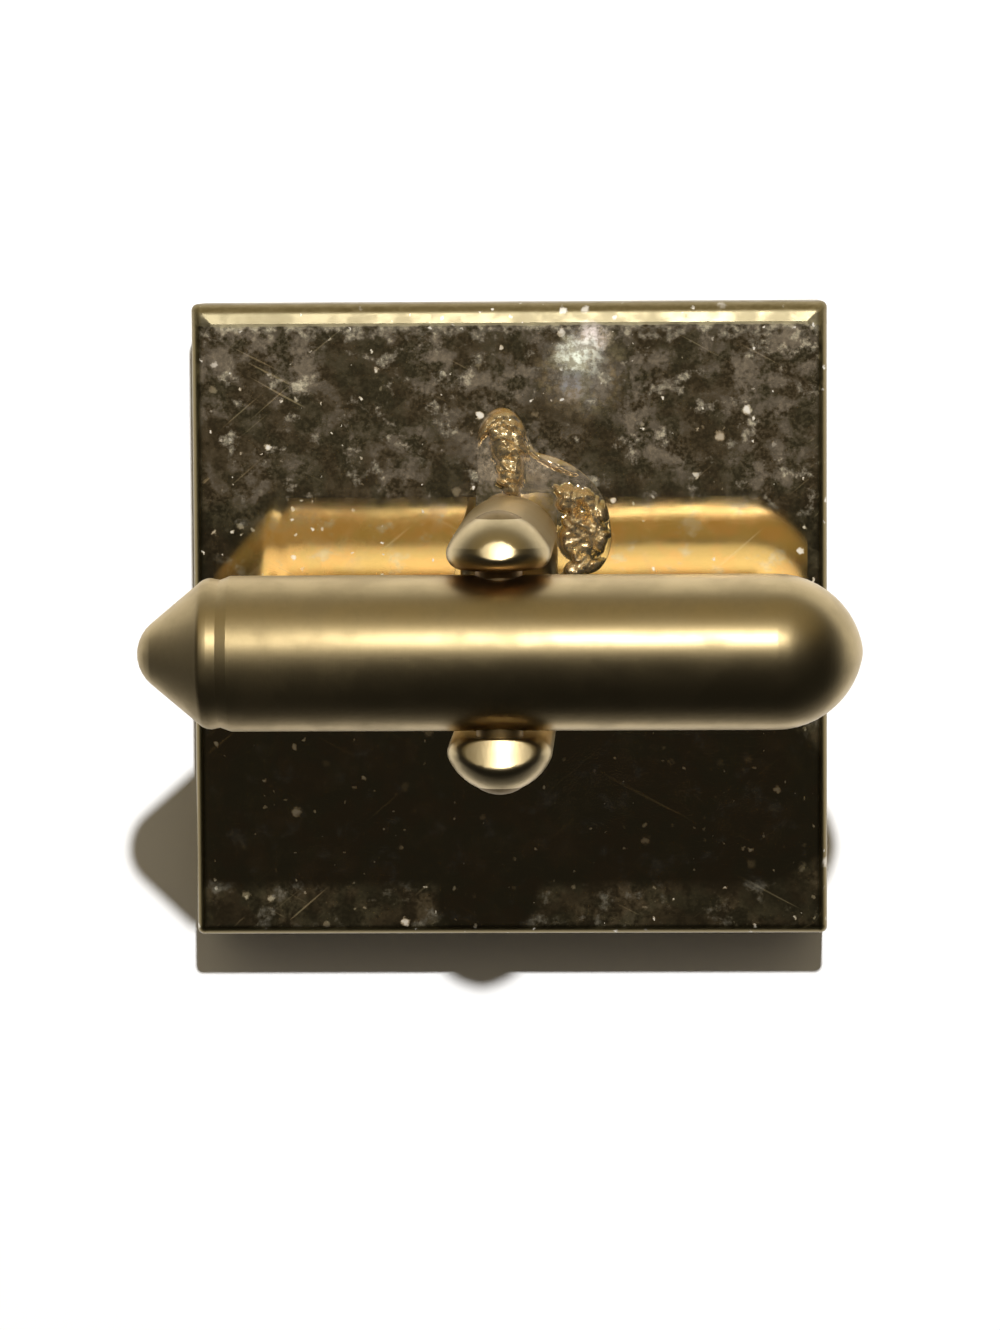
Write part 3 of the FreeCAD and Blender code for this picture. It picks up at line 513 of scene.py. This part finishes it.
def plate_metal(finish):
    """Mirror-polished gold under films of tarnish, dust, stains and scratches, with worn edges."""
    scratch_angles, scratch_dullness, dust_dullness, stain_dullness = (28, -40), 0.12, 0.75, 0.8
    material, tree, sockets = new_metal("tarnished plate", finish.plate_brown, finish.mirror)
    hue = use(tree, "cloud mask", Size=1.1, Detail=4.0, Low=0.42, High=0.58, Offset=5.0)
    gold = blend(tree, hue, rgba(finish.plate_brown), rgba(finish.plate_olive))
    polish = {"Size": 0.9, "Detail": 6.0, "Rough": 0.68, "Low": 0.55, "High": 0.68, "Offset": 14.0}
    ragged = use(tree, "north bevel mask", Start=8.4, Full=9.2, Ragged=2.6)
    blotches = maths(tree, "MAXIMUM", use(tree, "cloud mask", **polish), ragged)
    level = PLATE_BACK / MM
    back = spread(tree, axes(tree)["Z"], level - 0.40, level - 0.25)
    blotches = maths(tree, "MULTIPLY", blotches, back)
    dull = maths(tree, "MULTIPLY", tarnish(tree, blotches), back)
    paint = blend(tree, film_mask(tree, dull), gold, rgba(finish.film))
    paint = blend(tree, blotches, paint, rgba(finish.blotch))
    bevel = use(tree, "north bevel mask")
    side = use(tree, "plate side mask")
    paint = blend(tree, bevel, paint, rgba(finish.bevel_gold))
    # Partly wear, partly painted shade: the rounded sides get a dark brown gold that dims their
    # reflections.
    paint = blend(tree, side, paint, rgba(finish.side_gold))
    for degrees in scratch_angles:
        turn = math.radians(degrees)
        lines = use(tree, "scratch mask", Turn=turn, Fineness=7.0, Low=0.70, High=0.80)
        dull = maths(tree, "MULTIPLY_ADD", lines, scratch_dullness, dull)
    coarse = use(tree, "speck mask", Cell=0.80, Size=0.20, Share=0.22)
    fine = use(tree, "speck mask", Cell=0.30, Size=0.08, Share=0.14, Offset=7.0)
    dust = maths(tree, "MULTIPLY", maths(tree, "MAXIMUM", coarse, fine), back)
    paint = blend(tree, dust, paint, rgba(finish.dust))
    dull = maths(tree, "MAXIMUM", dull, maths(tree, "MULTIPLY", dust, dust_dullness))
    for stain in STAINS:
        oval = use(tree, "stain mask", X=stain.x, Y=stain.y, Wide=stain.wide, Tall=stain.tall)
        mask = maths(tree, "MULTIPLY", maths(tree, "MULTIPLY", oval, stain.weight), back)
        paint = blend(tree, mask, paint, rgba(stain.colour))
        dull = maths(tree, "MAXIMUM", dull, maths(tree, "MULTIPLY", mask, stain_dullness))
    cloud = use(tree, "cloud mask", Size=0.8, Detail=4.0, Low=0.3, High=0.7, Offset=21.0)
    gloss = between(tree, cloud, finish.mirror, 1.5 * finish.mirror)
    uneven = between(tree, cloud, 0.85 * finish.bevel, 1.15 * finish.bevel)
    worn = maths(tree, "MAXIMUM", gloss, maths(tree, "MULTIPLY", bevel, uneven))
    worn = maths(tree, "MAXIMUM", worn, maths(tree, "MULTIPLY", side, finish.side))
    relief(tree, sockets, plate_waves(tree), MM)
    tree.links.new(paint, sockets["Base Color"])
    tree.links.new(worn, sockets["Roughness"])
    tree.links.new(maths(tree, "SUBTRACT", 1.0, dull), sockets["Metallic"])
    return material


def worn_metal_with_painted_light(name, worn, uplit, crevice_shade):
    """Plated gold with fine lines across the bar and painted shade in the crevices round the pin.

    It is worn duller on its upper side, above the bar's axis, and most so towards the nose. Below
    the axis it takes the second coat, which on the bar is a brighter gold: painted light that
    stands in for light bounced up from the mirror plate.
    """
    dulled_share, shade_share, unevenness, line_depth = 0.86, 0.65, 0.08, 0.0004 * MM
    nose_dullness, dull_from, dull_to = 1.24, 2.0, -8.0
    material, tree, sockets = new_metal(name, worn.gold, worn.rough)
    cloud = use(tree, "cloud mask", Size=1.3, Detail=5.0, Low=0.35, High=0.70)
    parts = axes(tree)
    middle = BAR_AXIS / MM
    upper = spread(tree, parts["Z"], middle - 1.0, middle + 0.3)
    rough = between(tree, upper, uplit.rough, worn.rough)
    uneven = between(tree, cloud, 1 - unevenness, 1 + unevenness)
    duller = spread(tree, parts["X"], dull_from, dull_to, 1.0, nose_dullness)
    rough = maths(tree, "MULTIPLY", rough, maths(tree, "MULTIPLY", uneven, duller))
    tree.links.new(rough, sockets["Roughness"])
    dulled = tuple(dulled_share * part for part in worn.gold)
    paint = blend(tree, cloud, rgba(worn.gold), rgba(dulled))
    # Painted light: below the axis the second coat, on the bar a brighter gold, stands in for light
    # bounced up from the plate.
    paint = blend(tree, upper, rgba(uplit.gold), paint)
    # Painted shade: the crevices round the pin, between the bar and the ears, are darkened.
    crevice_shading = maths(tree, "MULTIPLY", use(tree, "pin grime mask"), shade_share)
    tree.links.new(blend(tree, crevice_shading, paint, rgba(crevice_shade)), sockets["Base Color"])
    turn = math.radians(90)
    lines = use(tree, "scratch mask", Turn=turn, Fineness=14.0, Length=3.0, Low=0.3, High=0.7)
    relief(tree, sockets, lines, line_depth)
    return material


def solder_metal(finish):
    """Plated solder: a thin tarnished film like the plate's, with rough, pitted lumps on it."""
    pit_share, blotches, haze, lump_metal, grain_depth = 0.8, 0.2, 1.3, 0.93, 0.005 * MM
    material, tree, sockets = new_metal("plated solder", finish.solder_gold, finish.solder)
    level = PLATE_BACK / MM
    raised = spread(tree, axes(tree)["Z"], level + 0.12, level + 0.26)
    pits = use(tree, "cloud mask", Size=0.30, Detail=4.0, Low=0.36, High=0.60)
    dark = tuple(pit_share * part for part in finish.solder_gold)
    gold = blend(tree, pits, rgba(dark), rgba(finish.solder_gold))
    dull = tarnish(tree, blotches)
    film = blend(tree, film_mask(tree, dull), rgba(finish.plate_olive), rgba(finish.film))
    tree.links.new(blend(tree, raised, film, gold), sockets["Base Color"])
    clear = maths(tree, "MULTIPLY_ADD", dull, -haze, 1.0)
    tree.links.new(between(tree, raised, clear, lump_metal), sockets["Metallic"])
    grains = use(tree, "cloud mask", Size=0.10, Detail=3.0, Low=0.25, High=0.75)
    rough = between(tree, grains, finish.solder, 2 * finish.solder)
    tree.links.new(between(tree, raised, 2 * finish.mirror, rough), sockets["Roughness"])
    relief(tree, sockets, maths(tree, "MULTIPLY", grains, raised), grain_depth)
    return material


def steel_metal(finish):
    """Rolled strip with fine lines along its length."""
    material, tree, sockets = new_metal("spring steel", finish.steel, 0.3)
    lines = use(tree, "scratch mask", Fineness=20.0, Length=3.0, Low=0.3, High=0.7)
    tree.links.new(between(tree, lines, 0.24, 0.38), sockets["Roughness"])
    return material


def dress(node, material):
    """Gives a CAD node its material."""
    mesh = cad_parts[node].data
    mesh.materials.clear()
    mesh.materials.append(material)


def new_piece(name, points, faces, material):
    """Smooth mesh object at the origin."""
    mesh = bpy.data.meshes.new(name)
    mesh.from_pydata(points.tolist(), [], faces)
    mesh.polygons.foreach_set("use_smooth", np.ones(len(mesh.polygons), dtype=bool))
    mesh.materials.append(material)
    piece = bpy.data.objects.new(name, mesh)
    bpy.context.scene.collection.objects.link(piece)
    return piece


def read(items, name, width, kind=float):
    """Array of one attribute of a mesh's points or corners."""
    values = np.empty(len(items) * width, dtype=kind)
    items.foreach_get(name, values)
    return values.reshape(-1, width) if width > 1 else values


def corner_arrays(node):
    """Places and normals of a CAD node's corners, as two arrays of triangle, corner and axis."""
    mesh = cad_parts[node].data
    corners = read(mesh.loops, "vertex_index", 1, int)
    places = read(mesh.vertices, "co", 3)[corners]
    normals = read(mesh.corner_normals, "vector", 3)
    return places.reshape(-1, 3, 3), normals.reshape(-1, 3, 3)


def unit(vectors):
    """Vectors of length 1."""
    return vectors / np.maximum(np.linalg.norm(vectors, axis=-1, keepdims=True), 1e-6)


def joined_piece(name, places, normals, material):
    """Object from triangles and their corner normals, with corners at one place joined."""
    rounded = np.round(places.reshape(-1, 3), decimals=8)
    points, faces = np.unique(rounded, axis=0, return_inverse=True)
    faces = faces.reshape(-1, 3)
    whole = (faces != np.roll(faces, 1, axis=1)).all(axis=1)
    piece = new_piece(name, points, faces[whole].tolist(), material)
    piece.data.normals_split_custom_set(normals[whole].reshape(-1, 3))
    return piece


def turned_copy(node, name, material):
    """Copy of a round node with its triangles joined and its normals true to the bar's axis.

    A corner's normal keeps its slope along X, softened at the worn seam, and its turn about the
    axis becomes that of the corner itself. Normals that this would turn far, as in the pin's hole,
    stay as they are.
    """
    places, normals = corner_arrays(node)
    outward = unit(places * (0, 1, 1) - (0, 0, BAR_AXIS))
    true = unit(normals * (1, 0, 0) + (normals * outward).sum(axis=2, keepdims=True) * outward)
    close = (true * normals).sum(axis=2) > math.cos(TRUING_LIMIT)
    seam = np.abs(places[:, :, 0] - SEAM_X) < SEAM_HALF_WIDTH
    true[seam] = unit(true[seam] * (SEAM_SOFTNESS, 1, 1))
    normals[close] = true[close]
    return joined_piece(name, places, normals, material)


def split(corners):
    """Corner array with each triangle cut into four at the middles of its sides."""
    first, second, third = (corners[:, k] for k in range(3))
    middles = (corners + np.roll(corners, -1, axis=1)) / 2
    after_first, after_second, after_third = (middles[:, k] for k in range(3))
    return np.concatenate(
        [
            np.stack([first, after_first, after_third], axis=1),
            np.stack([after_first, second, after_second], axis=1),
            np.stack([after_third, after_second, third], axis=1),
            middles,
        ]
    )


def filed_copy(node, name, material, finish):
    """Copy of the post with its triangles joined and a small worn flat on top of each ear.

    Corners that stand above a flat are lowered onto it. A flat leans to the north and is crowned by
    x^2 / (2 crown), and lies its depth below the surface of this form that touches the ear. Normals
    in its margin lean towards its own.
    """
    places, normals = (split(array) for array in corner_arrays(node))
    normals = unit(normals)
    facing = np.array((0, math.sin(finish.facet_lean), math.cos(finish.facet_lean)))
    for side, depth in ((1, finish.facet_north), (-1, finish.facet_south)):
        ear = (side * places[:, :, 1] > 0) & (places[:, :, 2] > BAR_AXIS)
        reach = places @ facing + places[:, :, 0] ** 2 / (2 * FACET_CROWN)
        above = np.where(ear, reach - reach[ear].max() + depth, 0)
        crowned = unit(facing + places * (1 / FACET_CROWN, 0, 0))
        places -= np.maximum(above, 0)[:, :, None] * facing
        near = np.where(ear, np.clip(1 + above / (FACET_SOFTNESS * depth), 0, 1), 0)[:, :, None]
        normals = unit(normals + near**2 * (crowned - normals))
    return joined_piece(name, places, normals, material)


def disc_faces(rings, spokes):
    """Faces of a closed disc: a fan round the top middle, quads, and a fan round the bottom middle.

    Point 0 is the top middle, then come the rings from the inside out, then the bottom middle.
    """
    here = np.arange(spokes)
    ahead = (here + 1) % spokes
    first = 1
    last = first + (rings - 1) * spokes
    bottom = first + rings * spokes
    top_fan = np.stack([np.zeros_like(here), first + here, first + ahead], axis=1)
    bottom_fan = np.stack([np.full_like(here, bottom), last + ahead, last + here], axis=1)
    inner = first + np.arange(rings - 1)[:, None] * spokes
    outer = inner + spokes
    quads = np.stack([inner + here, outer + here, outer + ahead, inner + ahead], axis=2)
    return top_fan.tolist() + quads.reshape(-1, 4).tolist() + bottom_fan.tolist()


def oval_place(lump, x, y):
    """Squared distance from a lump's middle, in units of its own turned half axes."""
    turn = math.radians(lump.turn)
    own_x = (x - lump.x) * math.cos(turn) + (y - lump.y) * math.sin(turn)
    own_y = (y - lump.y) * math.cos(turn) - (x - lump.x) * math.sin(turn)
    return (own_x / lump.wide) ** 2 + (own_y / lump.tall) ** 2


def puddle_reach(turn, middle):
    """Distance from the middle to the puddle's rim.

    It is the farthest exit of each ray from the puddle's ovals, smoothed over a window of rays.
    """
    half_window = 8
    reach = np.zeros_like(turn)
    for oval in PUDDLE:
        lean = math.radians(oval.turn)
        off_x, off_y = middle[0] - oval.x, middle[1] - oval.y
        step_x, step_y = np.cos(turn - lean) / oval.wide, np.sin(turn - lean) / oval.tall
        start_x = (off_x * math.cos(lean) + off_y * math.sin(lean)) / oval.wide
        start_y = (off_y * math.cos(lean) - off_x * math.sin(lean)) / oval.tall
        square = step_x**2 + step_y**2
        half = step_x * start_x + step_y * start_y
        inside = half**2 - square * (start_x**2 + start_y**2 - 1)
        exit_at = (np.sqrt(np.maximum(inside, 0)) - half) / square
        reach = np.maximum(reach, np.where(inside > 0, exit_at, 0))
    window = np.hanning(2 * half_window + 1)
    padded = np.concatenate([reach[-half_window:], reach, reach[:half_window]])
    return np.convolve(padded, window / window.sum(), mode="valid")


def rough_skin(x, y, seed):
    """Creased random relief from 0 to 1: one minus the size of a sum of seeded plane waves."""
    waves, coarsest, finest = 40, 6, 24
    draw = np.random.default_rng(seed)
    heading = draw.uniform(0, 2 * math.pi, waves)
    pitch = np.geomspace(coarsest, finest, waves)
    phase = draw.uniform(0, 2 * math.pi, waves)
    size = 1 / np.sqrt(pitch)
    field = np.zeros_like(x)
    for k in range(waves):
        along = x * math.cos(heading[k]) + y * math.sin(heading[k])
        field += size[k] * np.sin(pitch[k] * along + phase[k])
    return 1 - np.minimum(np.abs(field) / np.abs(field).max() * 2, 1)


def ramp(least, most, lot):
    """Value from least to most for a random lot from 0 to 1."""
    return least + (most - least) * lot


def small_lumps(seed):
    """Random small lumps, strewn evenly over each cluster's oval."""
    draw = np.random.default_rng(seed)
    lumps = []
    for cluster in CLUSTERS:
        out, turn, stretch, size, lean, height = draw.uniform(size=(6, cluster.count))
        x = cluster.x + cluster.wide * np.sqrt(out) * np.cos(2 * math.pi * turn)
        y = cluster.y + cluster.tall * np.sqrt(out) * np.sin(2 * math.pi * turn)
        wide = cluster.size * ramp(0.6, 1.5, size)
        tall = wide * ramp(0.35, 0.9, stretch)
        high = cluster.height * ramp(0.6, 1, height)
        lumps += map(Lump, x, y, wide, tall, 180 * lean, high)
    return lumps


def solder_points(solder):
    """Points of the solder: a disc stretched to the puddle's rim, with a height above the plate.

    The height is a thin film that feathers out to the rim, plus a skirt that falls off from the
    post's foot. Domes, which are half ovals, and a bowl with a low southern brim stand on it, and
    rough skin lies on these.
    """
    least_film, film_feathers, skin_from = 0.001, 3, 0.3
    brim_at, brim_width, brim_level, brim_tilt = 0.8, 0.22, 0.6, 0.4
    bowl_level, bowl_rise = 0.8, 0.2
    middle = PUDDLE_MIDDLE
    turn = np.arange(solder.spokes) * (2 * math.pi / solder.spokes)
    reach = puddle_reach(turn, middle)
    out = np.linspace(0, 1, solder.rings + 1)[1:, None]
    x = middle[0] + out * reach * np.cos(turn)
    y = middle[1] + out * reach * np.sin(turn)
    beside = np.maximum(np.abs(x) - FOOT_HALF_X / MM, 0)
    beyond = np.maximum(np.abs(y) - FOOT_HALF_Y / MM, 0)
    skirt = solder.fillet / MM * np.exp(-np.hypot(beside, beyond) / (solder.fillet_reach / MM))
    to_rim = (1 - out) * reach / (solder.feather / MM)
    feather = 1 - np.exp(-to_rim)
    height = (solder.film / MM + skirt) * (1 - np.exp(-to_rim / film_feathers))
    domes = np.zeros_like(x)
    for lump in (*LUMPS, *small_lumps(solder.seed)):
        inside = np.maximum(1 - oval_place(lump, x, y), 0)
        domes = np.maximum(domes, lump.height * np.sqrt(inside))
    ring = np.sqrt(oval_place(BOWL, x, y))
    brim = BOWL.height * np.clip(brim_level + brim_tilt * (y - BOWL.y) / BOWL.tall, 0, 1)
    domes = np.maximum(domes, brim * np.exp(-(((ring - brim_at) / brim_width) ** 2)))
    bowl = brim * (bowl_level + bowl_rise * (ring / brim_at) ** 2)
    domes = np.maximum(domes, np.where(ring < brim_at, bowl, 0))
    skin = rough_skin(x, y, solder.seed)
    weight = np.minimum(domes / skin_from, 1)
    height = np.maximum(height, domes) + solder.grain / MM * weight * (skin - 0.5)
    height = np.clip(height, least_film, (SOLDER_TOP - PLATE_BACK) / MM) * feather
    grid = np.stack([x, y, PLATE_BACK / MM + height], axis=2).reshape(-1, 3)
    top = [[*middle, PLATE_BACK / MM + solder.film / MM]]
    bottom = [[*middle, PLATE_BACK / MM]]
    return np.concatenate([top, grid, bottom]) * MM


def settings(context):
    return context.scene.cufflink


class CUFFLINK_OT_face_plate(bpy.types.Operator):
    """Dress the square face plate in tarnished mirror gold"""

    bl_idname = "cufflink.face_plate"
    bl_label = "Face plate"

    def execute(self, context):
        dress("face_plate", plate_metal(settings(context).finish))
        return {"FINISHED"}


class CUFFLINK_OT_post(bpy.types.Operator):
    """Wear down the ears of the stirrup post and dress it and its pin in gold"""

    bl_idname = "cufflink.post"
    bl_label = "Post and pin"

    def execute(self, context):
        finish = settings(context).finish
        bright = Coat(finish.post_gold, finish.post)
        # Painted shade: the pin's dark coat stands in for the shade in the gaps between the bar and
        # the ears.
        darkened = Coat(finish.pin_gold, finish.pin)
        metal = worn_metal_with_painted_light("post gold with painted shade", bright, bright, finish.crevice_shade)
        piece = filed_copy("stirrup_post", "filed_post", metal, finish)
        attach(piece, "cufflink_base")
        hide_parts("stirrup_post")
        dress("pivot_pin", worn_metal_with_painted_light("pin gold with painted shade", darkened, darkened, finish.crevice_shade))
        return {"FINISHED"}


class CUFFLINK_OT_solder(bpy.types.Operator):
    """Model the rough solder round the post's foot"""

    bl_idname = "cufflink.solder"
    bl_label = "Solder"

    def execute(self, context):
        solder = settings(context).solder
        metal = solder_metal(settings(context).finish)
        faces = disc_faces(solder.rings, solder.spokes)
        piece = new_piece("solder_bead", solder_points(solder), faces, metal)
        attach(piece, "cufflink_base")
        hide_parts("solder_joint")
        return {"FINISHED"}


class CUFFLINK_OT_toggle_bar(bpy.types.Operator):
    """Dress the toggle bar, its nose and the spring inside it"""

    bl_idname = "cufflink.toggle_bar"
    bl_label = "Toggle bar"

    def execute(self, context):
        finish = settings(context).finish
        worn = Coat(finish.bar_gold, finish.bar)
        # Painted light: the underside's brighter gold stands in for light bounced up from the
        # mirror plate.
        uplit = Coat(finish.underside_bounce_gold, finish.bar_under)
        metal = worn_metal_with_painted_light("bar gold with painted light", worn, uplit, finish.crevice_shade)
        for node, name in (("bar_shell", "turned_tube"), ("nose_plug", "turned_nose")):
            piece = turned_copy(node, name, metal)
            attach(piece, "toggle_bar")
            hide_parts(node)
        dress("detent_spring", steel_metal(finish))
        return {"FINISHED"}


def floor_material(stage):
    """White floor that keeps the shadows near the object and is plain white far from it.

    In reflections it grows dim far away and to the south, as a dark room's floor does.
    """
    dim_from, dim_to = 5 * MM, -30 * MM
    material = bpy.data.materials.new("pale floor")
    material.use_nodes = True
    tree = material.node_tree
    shader = tree.nodes["Principled BSDF"]
    shader.inputs["Base Color"].default_value = rgba(stage.floor_colour)
    shader.inputs["Roughness"].default_value = 1.0
    shader.inputs["Specular IOR Level"].default_value = 0.0
    position = tree.nodes.new("ShaderNodeTexCoord").outputs["Object"]
    reach = vector(tree, "LENGTH", position)
    level = spread(tree, reach, stage.mid_floor, stage.far_floor, 1.0, stage.far_level)
    path = tree.nodes.new("ShaderNodeLightPath").outputs
    side = place(tree, "ShaderNodeSeparateXYZ", {0: position}).outputs["Y"]
    glare = spread(tree, side, dim_to, dim_from, stage.south_level, 1.0)
    mirrored = maths(tree, "MULTIPLY", level, glare)
    shown = between(tree, path["Is Camera Ray"], mirrored, 1.0)
    plain = place(tree, "ShaderNodeEmission", {"Strength": shown})
    seen = maths(tree, "MAXIMUM", path["Is Camera Ray"], path["Is Glossy Ray"])
    seen = maths(tree, "MAXIMUM", seen, path["Is Transmission Ray"])
    mask = maths(tree, "MULTIPLY", spread(tree, reach, stage.near_floor, stage.mid_floor), seen)
    mix = place(tree, "ShaderNodeMixShader", {0: mask, 1: shader.outputs[0], 2: plain.outputs[0]})
    tree.links.new(mix.outputs[0], tree.nodes["Material Output"].inputs["Surface"])
    return material


def paint_room(scene, stage):
    """White backdrop in a dark room with a warm northern glow and a weak fill for matt surfaces."""
    lean, glow_from, glow_full = math.radians(20), 0.35, 0.92
    fill_from, fill_full, south_fill = -0.3, 0.4, 0.08
    world = bpy.data.worlds.new("studio room")
    scene.world = world
    world.use_nodes = True
    tree = world.node_tree
    background = tree.nodes["Background"]
    direction = tree.nodes.new("ShaderNodeTexCoord").outputs["Generated"]
    parts = place(tree, "ShaderNodeSeparateXYZ", {0: direction}).outputs
    north = maths(tree, "MULTIPLY", parts["Y"], math.cos(lean))
    toward = maths(tree, "MULTIPLY_ADD", parts["Z"], math.sin(lean), north)
    glow = spread(tree, toward, glow_from, glow_full)
    paint = blend(tree, glow, rgba((stage.ceiling,) * 3), rgba(stage.glow))
    path = tree.nodes.new("ShaderNodeLightPath").outputs
    northern = spread(tree, parts["Y"], fill_from, fill_full, south_fill, 1.0)
    lit = maths(tree, "MULTIPLY", path["Is Diffuse Ray"], northern)
    lift = blend(tree, lit, rgba((0, 0, 0)), rgba(stage.fill))
    backdrop = blend(tree, path["Is Camera Ray"], vector(tree, "ADD", paint, lift), rgba((1, 1, 1)))
    tree.links.new(backdrop, background.inputs["Color"])


def make_floor(stage):
    half = stage.floor_half
    corners = np.array([(-half, -half, 0), (half, -half, 0), (half, half, 0), (-half, half, 0)])
    floor = new_piece("floor", corners, [(0, 1, 2, 3)], floor_material(stage))


def hang_lamp(scene, stage, name, power, shines):
    """Round lamp to the north that shows in reflections or only lights matt surfaces."""
    data = bpy.data.lights.new(name, "AREA")
    data.shape = "DISK"
    data.size = stage.lamp_size
    data.energy = power
    lamp = bpy.data.objects.new(name, data)
    lamp.location = (
        stage.lamp_distance * math.sin(stage.lamp_east),
        stage.lamp_distance * math.sin(stage.lamp_north),
        PLATE_BACK + stage.lamp_distance * math.cos(stage.lamp_north),
    )
    lamp.rotation_euler = (-stage.lamp_north, stage.lamp_east, 0)
    lamp.visible_camera = False
    lamp.visible_glossy = shines
    scene.collection.objects.link(lamp)


def set_camera(scene, stage):
    view = bpy.data.cameras.new("camera")
    view.lens = stage.lens
    view.clip_start = MM
    camera = bpy.data.objects.new("camera", view)
    camera.location = stage.camera_at
    camera.rotation_euler = stage.camera_turn
    scene.collection.objects.link(camera)
    scene.camera = camera
    scene.view_settings.view_transform = "Standard"


class CUFFLINK_OT_stage(bpy.types.Operator):
    """Set up the floor, the lamp, the room and the camera"""

    bl_idname = "cufflink.stage"
    bl_label = "Stage"

    def execute(self, context):
        stage = settings(context).stage
        make_floor(stage)
        shine = stage.lamp_power * stage.lamp_shine
        hang_lamp(context.scene, stage, "key lamp", shine, True)
        hang_lamp(context.scene, stage, "soft lamp", stage.lamp_power - shine, False)
        paint_room(context.scene, stage)
        set_camera(context.scene, stage)
        return {"FINISHED"}


OPERATORS = (
    CUFFLINK_OT_face_plate,
    CUFFLINK_OT_post,
    CUFFLINK_OT_solder,
    CUFFLINK_OT_toggle_bar,
    CUFFLINK_OT_stage,
)


class CUFFLINK_PT_panel(bpy.types.Panel):
    """Lists the cufflink's settings and pieces"""

    bl_label = "Cufflink"
    bl_idname = "CUFFLINK_PT_panel"
    bl_space_type = "VIEW_3D"
    bl_region_type = "UI"
    bl_category = "Cufflink"

    def draw(self, context):
        for part in (settings(context).finish, settings(context).solder, settings(context).stage):
            box = self.layout.box()
            for name in part.__annotations__:
                box.prop(part, name)
        for operator in OPERATORS:
            self.layout.operator(operator.bl_idname)


CLASSES = (CufflinkFinish, CufflinkSolder, CufflinkStage, Cufflink, *OPERATORS, CUFFLINK_PT_panel)


def register():
    for item in CLASSES:
        bpy.utils.register_class(item)
    bpy.types.Scene.cufflink = PointerProperty(type=Cufflink)


def unregister():
    del bpy.types.Scene.cufflink
    for item in reversed(CLASSES):
        bpy.utils.unregister_class(item)


def main():
    register()
    make_shared_groups()
    bpy.ops.cufflink.face_plate()
    bpy.ops.cufflink.post()
    bpy.ops.cufflink.solder()
    bpy.ops.cufflink.toggle_bar()
    bpy.ops.cufflink.stage()


if __name__ == "__main__":
    main()
